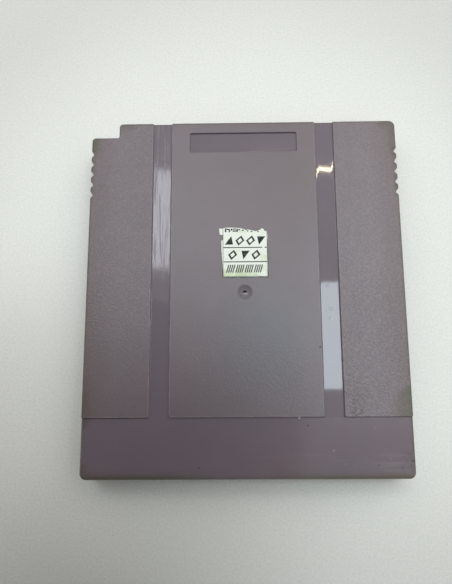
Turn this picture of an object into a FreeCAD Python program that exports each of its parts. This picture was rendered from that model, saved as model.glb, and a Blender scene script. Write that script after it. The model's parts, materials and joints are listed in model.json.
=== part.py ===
import FreeCAD, Part
import math
import os
import re
import Sketcher
from FreeCAD import Vector

# A handheld game cartridge lying on its front face. +Z goes up through its back, +Y points to
# the grip end, and the mouth of the edge connector opens at the -Y end. The origin is the middle
# of the face that it lies on. All lengths are millimetres.

SIZES = (
    ("contact_count", 32, "contact fingers along the board's edge"),
    ("contact_pitch", 1.5, "finger to finger"),
    ("contact_width", 1.0, "width of a finger"),
    ("contact_length", 6.0, "length of a finger"),
    ("contact_plating", 0.05, "height of a finger over the board"),
    ("contact_setback", 0.6, "board's edge to the fingers"),
    ("contact_margin", 0.95, "outermost finger to the side of the tongue"),
    ("board_thickness", 0.8, "circuit board"),
    ("board_clearance", 0.3, "board to the walls round it"),
    ("board_recess", 1.6, "board's edge behind the mouth"),
    ("board_gap", 16.0, "board's inner edge to the end wall"),
    ("board_bevel", 0.2, "bevel on the board's leading edge"),
    ("hole_clearance", 0.15, "peg to the board's hole"),
    ("mouth_wall", 3.5, "side wall beside the mouth"),
    ("mouth_depth", 12.0, "length of the mouth"),
    ("shell_length", 65.0, "mouth end to grip end"),
    ("side_wall", 2.0, "long walls"),
    ("end_wall", 2.0, "wall at the grip end"),
    ("front_wall", 1.3, "broad wall under the label recess's face"),
    ("rear_wall", 1.7, "broad wall under the panels"),
    ("rear_depth", 3.5, "height of the rear shell"),
    ("corner_radius", 1.1, "corners of the outline"),
    ("edge_radius", 0.35, "outer rim of the rear shell"),
    ("front_bevel", 0.35, "outer rim of the front shell"),
    ("seam_bevel", 0.1, "bevel along the seam of the shells"),
    ("notch_width", 5.1, "key notch along the end"),
    ("notch_height", 2.8, "key notch along the side"),
    ("notch_radius", 0.7, "corners of the key notch"),
    ("grip_count", 5, "grip hollows on each long side"),
    ("grip_pitch", 2.0, "hollow to hollow"),
    ("grip_mouth", 1.4, "hollow at the rim"),
    ("grip_floor", 0.3, "hollow at its floor"),
    ("grip_depth", 0.58, "depth of a hollow"),
    ("grip_setback", 6.15, "grip end to the first hollow"),
    ("panel_raise", 0.4, "panels over the channels"),
    ("panel_bevel", 0.1, "bevel on the panels' edges"),
    ("panel_corner", 0.3, "rounding of the panels' corners"),
    ("channel_width", 3.45, "channel between two panels"),
    ("channel_centre", 15.14, "centre line to the middle of a channel"),
    ("strip_length", 10.3, "plain strip at the mouth end"),
    ("recess_width", 19.9, "bare recess in the middle panel"),
    ("recess_height", 3.8, "recess along the length"),
    ("recess_depth", 0.35, "depth of the recess"),
    ("recess_setback", 2.15, "grip end to the recess"),
    ("recess_corner", 0.3, "corners of the recess"),
    ("gate_setback", 0.3, "moulding gate behind the middle"),
    ("gate_width", 2.8, "dish round the moulding gate"),
    ("gate_depth", 0.22, "depth of the dish"),
    ("gate_nub_width", 0.7, "broken stub in the dish"),
    ("gate_nub_drop", 0.06, "top of the stub under the panel"),
    ("label_width", 42.0, "bare label recess on the front"),
    ("label_height", 37.0, "label recess along the length"),
    ("label_depth", 0.3, "depth of the label recess"),
    ("label_corner", 1.5, "corners of the label recess"),
    ("label_setback", 9.5, "mouth end to the label recess"),
    ("badge_width", 40.0, "bare round-ended recess over the label"),
    ("badge_height", 7.6, "round-ended recess along the length"),
    ("badge_depth", 0.3, "depth of the round-ended recess"),
    ("badge_flat", 0.4, "straight part of the recess's ends"),
    ("rib_groove_length", 6.0, "grip grooves across the front, from the side"),
    ("rib_groove_width", 1.1, "grip groove at the face"),
    ("rib_groove_floor", 0.35, "grip groove at its floor"),
    ("rib_groove_depth", 0.4, "depth of a grip groove"),
    ("arrow_width", 5.0, "insertion arrow on the front"),
    ("arrow_height", 3.0, "arrow along the length"),
    ("arrow_depth", 0.25, "depth of the arrow"),
    ("arrow_setback", 3.0, "mouth end to the arrow's point"),
    ("lip_thickness", 0.6, "lip of the front shell along the seam"),
    ("lip_height", 0.8, "lip over the seam"),
    ("lip_clearance", 0.1, "lip to its rebate"),
    ("peg_width", 2.0, "pegs of the rear shell"),
    ("peg_clearance", 0.05, "peg to its socket"),
    ("peg_inset", 3.4, "long wall to the pegs"),
    ("peg_rise", 3.3, "lower pegs over the board's shoulder"),
    ("peg_drop", 3.0, "upper pegs under the notch"),
    ("peg_tip_gap", 0.3, "tip of a peg to the bottom of its socket"),
    ("socket_width", 4.0, "sockets of the front shell"),
    ("socket_floor", 0.4, "bottom of a socket over the front wall"),
    ("rib_count", 5, "ribs under the board"),
    ("rib_width", 1.0, "rib"),
    ("rib_height", 0.6, "rib over the rear wall"),
    ("rib_pitch", 9.0, "rib to rib"),
    ("rib_inset", 1.0, "rib's end inside the board's edge"),
    ("chip_headroom", 0.85, "memory chip to the front wall"),
    ("chip_standoff", 0.15, "chip to the board"),
    ("chip_end", 0.5, "outermost lead to the end of a chip"),
    ("chip_gap", 4.5, "chip to chip"),
    ("chip_draft_angle", 7.0, "draft of the moulded cases, degrees"),
    ("lead_pitch", 1.27, "lead to lead"),
    ("lead_width", 0.4, "width of a lead"),
    ("lead_thickness", 0.15, "thickness of a lead"),
    ("lead_shoulder", 0.35, "case to the lead's bend"),
    ("lead_foot", 0.8, "foot of a lead"),
    ("memory_lead_count", 16, "leads on each side of the memory chip"),
    ("memory_width", 11.2, "case of the memory chip"),
    ("memory_height", 2.4, "case of the memory chip"),
    ("memory_span", 14.0, "memory chip over its leads"),
    ("control_lead_count", 12, "leads on each side of the control chip"),
    ("control_width", 7.5, "case of the control chip"),
    ("control_height", 2.2, "case of the control chip"),
    ("control_span", 10.3, "control chip over its leads"),
    ("pin_mark", 0.9, "round mark beside the first lead"),
    ("pin_mark_depth", 0.1, "depth of that mark"),
    ("passive_length", 2.0, "chip capacitors and resistors"),
    ("passive_width", 1.25, "chip capacitors and resistors"),
    ("passive_end", 0.4, "end cap of a chip capacitor or resistor"),
    ("passive_cap", 0.03, "end cap over the body"),
    ("passive_spacing", 5.0, "resistor beside its capacitor"),
    ("capacitor_height", 0.95, "chip capacitor"),
    ("resistor_height", 0.55, "chip resistor"),
    ("sticker_width", 8.0, "paper sticker on the middle panel"),
    ("sticker_height", 8.9, "sticker along the length"),
    ("sticker_thickness", 0.1, "paper and adhesive"),
    ("sticker_shift", 0.1, "sticker off the centre line"),
    ("sticker_rise", 2.55, "middle to the sticker's lower edge"),
)

# Sizes that follow from those above
WORKED = (
    ("tongue_half", "((contact_count - 1) * contact_pitch + contact_width) / 2 + contact_margin"),
    ("mouth_half", "tongue_half + board_clearance"),
    ("half_width", "mouth_half + mouth_wall"),
    ("half_length", "shell_length / 2"),
    ("chip_depth", "chip_standoff + memory_height"),
    ("board_front", "front_wall + chip_headroom + chip_depth"),
    ("board_back", "board_front + board_thickness"),
    ("rear_inside", "board_back + rib_height"),
    ("thickness", "rear_inside + rear_wall"),
    ("seam", "thickness - rear_depth"),
    ("channel_level", "thickness - panel_raise"),
    ("cavity_half", "half_width - side_wall"),
    ("cavity_top", "half_length - end_wall"),
    ("shoulder", "-half_length + mouth_depth"),
    ("notch_side", "half_width - notch_width"),
    ("notch_floor", "half_length - notch_height"),
    ("cavity_notch_side", "notch_side - side_wall"),
    ("cavity_notch_floor", "notch_floor - end_wall"),
    ("grip_high", "half_length - grip_setback"),
    ("grip_middle", "grip_high - (grip_count - 1) * grip_pitch / 2"),
    ("channel_inner", "channel_centre - channel_width / 2"),
    ("channel_outer", "channel_centre + channel_width / 2"),
    ("strip_end", "-half_length + strip_length"),
    ("recess_high", "half_length - recess_setback"),
    ("recess_low", "recess_high - recess_height"),
    ("gate_sphere", "((gate_width / 2) ^ 2 + gate_depth ^ 2) / (2 * gate_depth)"),
    ("gate_nub_foot", "sqrt(gate_sphere ^ 2 - (gate_nub_width / 2) ^ 2) - gate_sphere + gate_depth"),
    ("label_low", "-half_length + label_setback"),
    ("label_high", "label_low + label_height"),
    ("board_half", "cavity_half - board_clearance"),
    ("board_low", "-half_length + board_recess"),
    ("board_high", "cavity_top - board_gap"),
    ("board_shoulder", "shoulder + board_clearance"),
    ("peg_side", "cavity_half - peg_inset"),
    ("peg_low", "board_shoulder + peg_rise"),
    ("peg_high", "cavity_notch_floor - peg_drop"),
    ("socket_bottom", "front_wall + socket_floor"),
    ("peg_tip", "socket_bottom + peg_tip_gap"),
    ("memory_length", "(memory_lead_count - 1) * lead_pitch + lead_width + 2 * chip_end"),
    ("control_length", "(control_lead_count - 1) * lead_pitch + lead_width + 2 * chip_end"),
    ("chips_half", "(memory_length + chip_gap + control_length) / 2"),
    ("memory_side", "-chips_half + memory_length / 2"),
    ("control_side", "chips_half - control_length / 2"),
    ("chip_row", "(board_shoulder + board_high) / 2"),
    ("passive_row", "(chip_row + memory_span / 2 + board_high) / 2"),
    ("sticker_left", "sticker_shift - sticker_width / 2"),
)

# How far a cut runs past the face that it opens
CUT_PAST = "1"

# Torn outline of the sticker, in shares of its width and height from the lower left corner
TORN_SHARES = (
    (0.00, 0.00), (0.72, 0.00), (0.74, -0.01), (0.79, 0.00), (1.00, 0.00), (1.02, 0.92), (0.98, 0.95),
    (0.93, 1.01), (0.89, 0.98), (0.77, 0.95), (0.66, 0.97), (0.56, 0.99), (0.48, 0.97), (0.41, 1.01),
    (0.28, 1.03), (0.14, 1.02), (0.06, 0.99), (-0.09, 1.01), (-0.08, 0.87), (0.00, 0.87),
    (0.00, 0.76), (-0.04, 0.76), (-0.04, 0.48), (-0.01, 0.20),
)

doc = FreeCAD.newDocument("GameCartridge")
sizes = doc.addObject("Spreadsheet::Sheet", "Sizes")
worked = doc.addObject("Spreadsheet::Sheet", "Worked")
HOME = {name: "Sizes" for name, *_ in SIZES} | {name: "Worked" for name, _ in WORKED}


# Sheet expression for words that name sizes
def bind(text):
    return re.sub("[a-z_]+", lambda word: f"{HOME[word[0]]}.{word[0]}" if word[0] in HOME else word[0], text)


for row, (name, number, note) in enumerate(SIZES, start=1):
    sizes.set(f"A{row}", note)
    sizes.set(f"B{row}", str(number))
    sizes.setAlias(f"B{row}", name)
for row, (name, formula) in enumerate(WORKED, start=1):
    worked.set(f"A{row}", name.replace("_", " "))
    worked.setAlias(f"B{row}", name)
for row, (name, formula) in enumerate(WORKED, start=1):
    worked.set(f"B{row}", "=" + bind(formula))
doc.recompute()


# Present value of an expression
def measure(text):
    value = worked.evalExpression(bind(text))
    return float(getattr(value, "Value", value))


# Sketches: a path is a start point and steps to the next point, (x, y) for a line or
# (x, y, radius, turn) for an arc that turns left (1) or right (-1)


def new_sketch(body, name, plane="XY_Plane", offset="0"):
    sketch = body.newObject("Sketcher::SketchObject", name)
    support = [feature for feature in body.Origin.OriginFeatures if feature.Role == plane][0]
    sketch.AttachmentSupport = [(support, "")]
    sketch.MapMode = "FlatFace"
    sketch.setExpression("AttachmentOffset.Base.z", bind(offset))
    return sketch


# Rules that hold a point, each with the expression that it follows, if any
def point_rules(index, position, x, y):
    rules = []
    for kind, axis, text in (("DistanceX", -2, x), ("DistanceY", -1, y)):
        if text == "0":
            rules.append((Sketcher.Constraint("PointOnObject", index, position, axis), None))
        else:
            rules.append((Sketcher.Constraint(kind, -1, 1, index, position, measure(text)), text))
    return rules


def add_rules(sketch, rules):
    first = sketch.ConstraintCount
    sketch.addConstraint([rule for rule, _ in rules])
    for number, (_, text) in enumerate(rules, start=first):
        if text:
            sketch.setExpression(f"Constraints[{number}]", bind(text))


def arc_between(start, end, radius, turn):
    chord = end - start
    rise = math.sqrt(max(radius ** 2 - chord.Length ** 2 / 4, 0))
    across = Vector(-chord.y, chord.x, 0).normalize() * rise * turn
    centre = (start + end) * 0.5 + across
    first, last = (start, end) if turn > 0 else (end, start)
    angles = [math.atan2(point.y - centre.y, point.x - centre.x) for point in (first, last)]
    return Part.ArcOfCircle(Part.Circle(centre, Vector(0, 0, 1), radius), *angles)


def draw_path(sketch, start, steps):
    first = sketch.GeometryCount
    shapes, ends, rules = [], [], []
    for index, step in enumerate(steps, start=first):
        begin, finish = (Vector(measure(x), measure(y), 0) for x, y in (start[:2], step[:2]))
        if len(step) == 2:
            shapes.append(Part.LineSegment(begin, finish))
            ends.append((1, 2))
        else:
            radius, turn = step[2:]
            shapes.append(arc_between(begin, finish, measure(radius), turn))
            ends.append((1, 2) if turn > 0 else (2, 1))
            rules.append((Sketcher.Constraint("Radius", index, measure(radius)), radius))
        start = step
    for place, step in enumerate(steps):
        after = (place + 1) % len(steps)
        here, there = (first + place, ends[place][1]), (first + after, ends[after][0])
        rules.append((Sketcher.Constraint("Coincident", *here, *there), None))
        rules += point_rules(*here, *step[:2])
    sketch.addGeometry(shapes, False)
    add_rules(sketch, rules)


# Closed path through square corners, each (x, y) or (x, y, radius)
def corner_path(corners):
    places = [Vector(measure(corner[0]), measure(corner[1]), 0) for corner in corners]
    steps = []
    for index, corner in enumerate(corners):
        if len(corner) == 2:
            steps.append(corner)
            continue
        x, y, radius = corner
        come = (places[index] - places[index - 1]).normalize()
        leave = (places[(index + 1) % len(corners)] - places[index]).normalize()
        shift = [f"{round(way)} * ({radius})" for way in (come.x, come.y, leave.x, leave.y)]
        steps.append((f"{x} - {shift[0]}", f"{y} - {shift[1]}"))
        steps.append((f"{x} + {shift[2]}", f"{y} + {shift[3]}", radius, round(come.cross(leave).z)))
    return steps[-1], steps


def rectangle(left, low, right, high, *radius):
    corners = ((left, low), (right, low), (right, high), (left, high))
    return corner_path([(*corner, *radius) for corner in corners])


def draw_circle(sketch, x, y, width):
    circle = Part.Circle(Vector(measure(x), measure(y), 0), Vector(0, 0, 1), measure(width) / 2)
    index = sketch.addGeometry(circle, False)
    rules = [(Sketcher.Constraint("Diameter", index, measure(width)), width)]
    add_rules(sketch, rules + point_rules(index, 3, x, y))


# Features


def new_body(label):
    body = doc.addObject("PartDesign::Body", label)
    body.Label = label
    return body


def extrude(body, kind, sketch, length, reverse=False, **settings):
    feature = body.newObject(f"PartDesign::{kind}", f"{sketch.Name}_{kind}")
    feature.Profile = sketch
    feature.Reversed = reverse
    feature.setExpression("Length", bind(length))
    for name, text in settings.items():
        feature.setExpression(name, bind(text))
    doc.recompute()
    return feature


def pad(body, sketch, length, reverse=False, **settings):
    return extrude(body, "Pad", sketch, length, reverse, **settings)


# A cut has to take something away
def pocket(body, sketch, length, reverse=False):
    before = body.Shape.Volume
    feature = extrude(body, "Pocket", sketch, length, reverse)
    if feature.Shape.Volume >= before:
        raise ValueError(f"{feature.Name} cuts nothing")
    return feature


# Edges are picked by their place. A crest is a sharp edge with air beside it, a little lower down.
PROBE = 0.02
SHARP = math.radians(20)


def is_crest(shape, edge):
    middle = edge.valueAt((edge.FirstParameter + edge.LastParameter) / 2)
    faces = shape.ancestorsOfType(edge, Part.Face)
    normals = [face.normalAt(*face.Surface.parameter(middle)) for face in faces]
    if len(normals) != 2 or normals[0].getAngle(normals[1]) < SHARP:
        return False
    spots = [middle + Vector(x, y, -PROBE) for x in (-PROBE, PROBE) for y in (-PROBE, PROBE)]
    return not all(shape.isInside(spot, 1e-6, False) for spot in spots)


def any_edge(shape, edge):
    return True


def round_edges(body, name, radius, level, wanted=any_edge, kind="Fillet", setting="Radius"):
    base = body.Tip
    height = measure(level)
    edges = []
    for number, edge in enumerate(base.Shape.Edges, start=1):
        flat = abs(edge.BoundBox.ZMin - height) < 1e-4 and abs(edge.BoundBox.ZMax - height) < 1e-4
        if flat and wanted(base.Shape, edge):
            edges.append(f"Edge{number}")
    if not edges:
        raise ValueError(f"{name} finds no edge")
    feature = body.newObject(f"PartDesign::{kind}", name)
    feature.Base = (base, edges)
    feature.setExpression(setting, bind(radius))
    doc.recompute()
    return feature


def bevel_edges(body, name, size, level, wanted=any_edge):
    return round_edges(body, name, size, level, wanted, "Chamfer", "Size")


def repeat_along_x(body, original, length, count):
    pattern = body.newObject("PartDesign::LinearPattern", f"{original.Name}_Row")
    pattern.Originals = [original]
    axis = [feature for feature in body.Origin.OriginFeatures if feature.Role == "X_Axis"][0]
    pattern.Direction = (axis, [""])
    pattern.setExpression("Length", bind(length))
    pattern.setExpression("Occurrences", bind(count))
    body.Tip = pattern
    doc.recompute()


# Outline shared by both shells, seen from the back: the key notch is at the upper left
def draw_outline(body, name, level):
    sketch = new_sketch(body, name, offset=level)
    draw_path(sketch, *corner_path([
        ("-half_width", "-half_length", "corner_radius"),
        ("half_width", "-half_length", "corner_radius"),
        ("half_width", "half_length", "corner_radius"),
        ("-notch_side", "half_length", "notch_radius"),
        ("-notch_side", "notch_floor", "notch_radius / 2"),
        ("-half_width", "notch_floor", "notch_radius"),
    ]))
    return sketch


# A row of hollows down each long side, cut through the whole height of a shell
def cut_grips(body, name, level, height):
    sketch = new_sketch(body, name, offset=level)
    wide, narrow = "grip_mouth / 2", "grip_floor / 2"
    for side in (1, -1):
        reach = [f"{side} * (half_width + {depth})" for depth in (CUT_PAST, "0", "-grip_depth")]
        for place in range(int(measure("grip_count"))):
            middle = f"grip_high - {place} * grip_pitch"
            lower = [(x, f"{middle} - {half}") for x, half in zip(reach, (wide, wide, narrow))]
            upper = [(x, f"{middle} + {half}") for x, half in zip(reach, (wide, wide, narrow))]
            draw_path(sketch, upper[0], lower + upper[::-1])
    pocket(body, sketch, f"{height} + {CUT_PAST}")


# Inner walls: the mouth, its shoulders and the space behind them, which goes round the key notch
def draw_cavity(body, name, level):
    sketch = new_sketch(body, name, offset=level)
    low = f"-half_length - {CUT_PAST}"
    draw_path(sketch, *corner_path([
        ("-mouth_half", low), ("mouth_half", low), ("mouth_half", "shoulder"), ("cavity_half", "shoulder"),
        ("cavity_half", "cavity_top"), ("-cavity_notch_side", "cavity_top"),
        ("-cavity_notch_side", "cavity_notch_floor"), ("-cavity_half", "cavity_notch_floor"),
        ("-cavity_half", "shoulder"), ("-mouth_half", "shoulder"),
    ]))
    return sketch


# Corners of the inner walls from the right shoulder round to the left one, moved outwards
def wall_line(outwards, foot):
    side, end = f"(cavity_half + {outwards})", f"cavity_top + {outwards}"
    notch_side, notch_end = f"-(cavity_notch_side + {outwards})", f"cavity_notch_floor + {outwards}"
    return [(side, foot), (side, end), (notch_side, end), (notch_side, notch_end), (f"-{side}", notch_end),
            (f"-{side}", foot)]


PEGS_LOW = (("-peg_side", "peg_low"), ("peg_side", "peg_low"))
PEGS_HIGH = (("-peg_side", "peg_high"), ("peg_side", "peg_high"))


def draw_circles(body, name, level, places, width):
    sketch = new_sketch(body, name, offset=level)
    for x, y in places:
        draw_circle(sketch, x, y, width)
    return sketch


def make_rear_shell():
    body = new_body("rear_shell")
    pad(body, draw_outline(body, "RearOutline", "seam"), "rear_depth")
    round_edges(body, "RearRim", "edge_radius", "thickness")
    bevel_edges(body, "RearSeam", "seam_bevel", "seam")

    # Two channels and the strip at the mouth end leave three raised panels
    channels = new_sketch(body, "Channels", offset="thickness")
    out, low, high = f"half_width + {CUT_PAST}", f"-half_length - {CUT_PAST}", f"half_length + {CUT_PAST}"
    draw_path(channels, *corner_path([
        (f"-({out})", low), (out, low), (out, "strip_end"), ("channel_outer", "strip_end", "panel_corner"),
        ("channel_outer", high), ("channel_inner", high), ("channel_inner", "strip_end", "panel_corner"),
        ("-channel_inner", "strip_end", "panel_corner"), ("-channel_inner", high), ("-channel_outer", high),
        ("-channel_outer", "strip_end", "panel_corner"), (f"-({out})", "strip_end"),
    ]))
    pocket(body, channels, "panel_raise")
    round_edges(body, "ChannelRim", "edge_radius", "channel_level", is_crest)

    recess = new_sketch(body, "Recess", offset="thickness")
    side = "recess_width / 2"
    draw_path(recess, *rectangle(f"-{side}", "recess_low", side, "recess_high", "recess_corner"))
    pocket(body, recess, "recess_depth")
    bevel_edges(body, "PanelEdges", "panel_bevel", "thickness", is_crest)
    cut_grips(body, "RearGrips", "thickness", "rear_depth")

    # A shallow dish round the stub that the moulding gate left
    gate = new_sketch(body, "Gate", "XZ_Plane", "gate_setback")
    edge, over = "gate_width / 2", f"thickness + {CUT_PAST}"
    stub, stub_top = "gate_nub_width / 2", "thickness - gate_nub_drop"
    draw_path(gate, ("0", over), [
        ("0", stub_top), (stub, stub_top), (stub, "thickness - gate_nub_foot"),
        (edge, "thickness", "gate_sphere", 1), (edge, over), ("0", over),
    ])
    dish = body.newObject("PartDesign::Groove", "GateDish")
    dish.Profile = gate
    dish.ReferenceAxis = (gate, ["V_Axis"])
    doc.recompute()

    pocket(body, draw_cavity(body, "RearCavity", "seam"), "rear_inside - seam", reverse=True)
    rebate = new_sketch(body, "Rebate", offset="seam")
    draw_path(rebate, *corner_path(wall_line("lip_thickness + lip_clearance", "shoulder")))
    pocket(body, rebate, "lip_height + lip_clearance", reverse=True)

    ribs = new_sketch(body, "Ribs", offset="board_back")
    for place in range(int(measure("rib_count"))):
        middle = f"({place} - (rib_count - 1) / 2) * rib_pitch"
        draw_path(ribs, *rectangle(f"{middle} - rib_width / 2", "board_low + rib_inset",
                                   f"{middle} + rib_width / 2", "board_high - rib_inset"))
    pad(body, ribs, "rib_height")
    pegs = PEGS_LOW + PEGS_HIGH
    pad(body, draw_circles(body, "Bosses", "board_back", pegs, "socket_width"), "rib_height")
    pad(body, draw_circles(body, "Pegs", "peg_tip", pegs, "peg_width"), "board_back - peg_tip")
    return body


def make_front_shell():
    body = new_body("front_shell")
    pad(body, draw_outline(body, "FrontOutline", "0"), "seam")
    bevel_edges(body, "FrontRim", "front_bevel", "0")
    bevel_edges(body, "FrontSeam", "seam_bevel", "seam")
    cut_grips(body, "FrontGrips", "seam", "seam")

    # Bare recesses for a label and a name, and an arrow that points to the mouth
    label = new_sketch(body, "LabelRecess")
    side = "label_width / 2"
    draw_path(label, *rectangle(f"-{side}", "label_low", side, "label_high", "label_corner"))
    pocket(body, label, "label_depth", reverse=True)
    badge = new_sketch(body, "BadgeRecess")
    draw_path(badge, *rectangle("-badge_width / 2", "grip_middle - badge_height / 2", "badge_width / 2",
                                "grip_middle + badge_height / 2", "(badge_height - badge_flat) / 2"))
    pocket(body, badge, "badge_depth", reverse=True)
    arrow = new_sketch(body, "Arrow")
    point, back = "-half_length + arrow_setback", "-half_length + arrow_setback + arrow_height"
    draw_path(arrow, ("0", point), [("arrow_width / 2", back), ("-arrow_width / 2", back), ("0", point)])
    pocket(body, arrow, "arrow_depth", reverse=True)

    # Grip grooves run in from each long side, in line with its hollows
    for side, name in ((1, "GripsRight"), (-1, "GripsLeft")):
        grips = new_sketch(body, name, "YZ_Plane", f"{side} * (half_width + {CUT_PAST})")
        for place in range(int(measure("grip_count"))):
            middle = f"grip_high - {place} * grip_pitch"
            wide, narrow = "rib_groove_width / 2", "rib_groove_floor / 2"
            corners = [(f"{middle} - {wide}", f"-{CUT_PAST}"), (f"{middle} + {wide}", f"-{CUT_PAST}"),
                       (f"{middle} + {wide}", "0"), (f"{middle} + {narrow}", "rib_groove_depth"),
                       (f"{middle} - {narrow}", "rib_groove_depth"), (f"{middle} - {wide}", "0")]
            draw_path(grips, corners[-1], corners)
        pocket(body, grips, f"rib_groove_length + {CUT_PAST}", reverse=side < 0)

    pocket(body, draw_cavity(body, "FrontCavity", "seam"), "seam - front_wall")
    lip = new_sketch(body, "Lip", offset="seam")
    foot = "shoulder + lip_clearance"
    corners = wall_line("lip_thickness", foot) + wall_line("0", foot)[::-1]
    draw_path(lip, corners[-1], corners)
    pad(body, lip, "lip_height")

    for name, places, level in (("Low", PEGS_LOW, "board_front"), ("High", PEGS_HIGH, "board_back")):
        sockets = draw_circles(body, f"Sockets{name}", "front_wall", places, "socket_width")
        pad(body, sockets, f"{level} - front_wall")
        bores = draw_circles(body, f"Bores{name}", level, places, "peg_width + 2 * peg_clearance")
        pocket(body, bores, f"{level} - socket_bottom")
    return body


def make_circuit_board():
    body = new_body("circuit_board")
    outline = new_sketch(body, "BoardOutline", offset="board_front")
    draw_path(outline, *corner_path([
        ("-tongue_half", "board_low"), ("tongue_half", "board_low"), ("tongue_half", "board_shoulder"),
        ("board_half", "board_shoulder"), ("board_half", "board_high"), ("-board_half", "board_high"),
        ("-board_half", "board_shoulder"), ("-tongue_half", "board_shoulder"),
    ]))
    for x, y in PEGS_LOW:
        draw_circle(outline, x, y, "peg_width + 2 * hole_clearance")
    pad(body, outline, "board_thickness")
    leading = measure("board_low")
    for level in ("board_front", "board_back"):
        bevel_edges(body, f"Bevel_{level}", "board_bevel", level,
                    lambda shape, edge: abs(edge.BoundBox.YMax - leading) < 1e-4)
    return body


def make_edge_contacts():
    body = new_body("edge_contacts")
    body.AllowCompound = True
    finger = new_sketch(body, "Finger", offset="board_front")
    left, low = "-tongue_half + contact_margin", "board_low + contact_setback"
    draw_path(finger, *rectangle(left, low, f"{left} + contact_width", f"{low} + contact_length"))
    repeat_along_x(body, pad(body, finger, "contact_plating", reverse=True),
                   "(contact_count - 1) * contact_pitch", "contact_count")
    return body


# A moulded chip case, hung under the board, with a round mark beside its first lead
def make_chip_case(kind):
    body = new_body(f"{kind}_chip")
    length, middle = f"{kind}_length", f"board_front - chip_standoff - {kind}_height / 2"
    for name, reverse in (("Upper", False), ("Lower", True)):
        half = new_sketch(body, f"{kind}{name}", offset=middle)
        draw_path(half, *rectangle(f"{kind}_side - {length} / 2", f"chip_row - {kind}_width / 2",
                                   f"{kind}_side + {length} / 2", f"chip_row + {kind}_width / 2"))
        pad(body, half, f"{kind}_height / 2", reverse, TaperAngle="-chip_draft_angle")
    corner = (f"{kind}_side - {length} / 2", f"chip_row - {kind}_width / 2")
    place = [f"{edge} + chip_end + pin_mark" for edge in corner]
    mark = draw_circles(body, f"{kind}Mark", f"{middle} - {kind}_height / 2", [place], "pin_mark")
    pocket(body, mark, "pin_mark_depth", reverse=True)
    return body


# Bent leads along both sides of a chip, with their feet on the board
def make_chip_leads(kind):
    body = new_body(f"{kind}_chip_leads")
    body.AllowCompound = True
    middle = f"board_front - chip_standoff - {kind}_height / 2"
    case, bend, tip = f"{kind}_width / 2", f"{kind}_width / 2 + lead_shoulder", f"{kind}_span / 2"
    half, heel = "lead_thickness / 2", f"{kind}_span / 2 - lead_foot"
    profile = [
        (case, f"{middle} + {half}"), (f"{bend} - {half}", f"{middle} + {half}"),
        (f"{heel} - {half}", "board_front"), (tip, "board_front"), (tip, "board_front - lead_thickness"),
        (f"{heel} + {half}", "board_front - lead_thickness"), (f"{bend} + {half}", f"{middle} - {half}"),
        (case, f"{middle} - {half}"),
    ]
    first = f"{kind}_side - {kind}_length / 2 + chip_end"
    count = f"{kind}_lead_count"
    for side, name in ((1, "Back"), (-1, "Front")):
        lead = new_sketch(body, f"{kind}Lead{name}", "YZ_Plane", first)
        steps = [(f"chip_row + {side} * ({y})", z) for y, z in profile]
        draw_path(lead, steps[-1], steps)
        repeat_along_x(body, pad(body, lead, "lead_width"), f"({count} - 1) * lead_pitch", count)
    return body


def new_box(name, corner, extent):
    box = doc.addObject("Part::Box", name)
    for side, text in zip(("Length", "Width", "Height"), extent):
        box.setExpression(side, bind(text))
    for axis, text in zip("xyz", corner):
        box.setExpression(f"Placement.Base.{axis}", bind(text))
    return box


# A chip capacitor or resistor under the board: its body between two soldered end caps
def make_passive(label, side, height):
    start, row = f"{side} - passive_length / 2", "passive_row - passive_width / 2"
    low = f"board_front - {height}"
    corner = (f"{start} + passive_end", f"{row} + passive_cap", f"{low} + passive_cap")
    core = [f"{size} - 2 * passive_cap" for size in ("passive_width", height)]
    body = new_box(label, corner, ("passive_length - 2 * passive_end", *core))
    cap = ("passive_end", "passive_width", height)
    left = new_box(f"{label}_left", (start, row, low), cap)
    right = new_box(f"{label}_right", (f"{start} + passive_length - passive_end", row, low), cap)
    ends = doc.addObject("Part::Compound", f"{label}_ends")
    ends.Links = [left, right]
    for item, name in ((body, label), (ends, f"{label}_ends")):
        item.Label = name
    return [body, ends]


def make_paper_sticker():
    body = new_body("paper_sticker")
    torn = new_sketch(body, "Torn", offset="thickness")
    steps = []
    for across, along in TORN_SHARES:
        steps.append((f"sticker_left + {across} * sticker_width", f"sticker_rise + {along} * sticker_height"))
    draw_path(torn, steps[-1], steps)
    pad(body, torn, "sticker_thickness")
    return body


nodes = [make_rear_shell(), make_front_shell(), make_circuit_board(), make_edge_contacts()]
for chip in ("memory", "control"):
    nodes += [make_chip_case(chip), make_chip_leads(chip)]
nodes += make_passive("memory_capacitor", "memory_side", "capacitor_height")
nodes += make_passive("control_capacitor", "control_side", "capacitor_height")
nodes += make_passive("supply_capacitor", "memory_side - passive_spacing", "capacitor_height")
nodes += make_passive("reset_resistor", "memory_side + passive_spacing", "resistor_height")
nodes += make_passive("select_resistor", "control_side + passive_spacing", "resistor_height")
nodes.append(make_paper_sticker())
doc.recompute()

failed = [item.Name for item in doc.Objects if {"Invalid", "Error"} & set(item.State)]
failed += [node.Label for node in nodes if node.Shape.isNull() or not node.Shape.isValid()]
if failed:
    raise ValueError(f"not built: {failed}")
os.makedirs("parts", exist_ok=True)
for node in nodes:
    node.Shape.exportStep(f"parts/{node.Label}.step")
    print(node.Label, len(node.Shape.Solids), round(node.Shape.Volume, 3))
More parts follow.
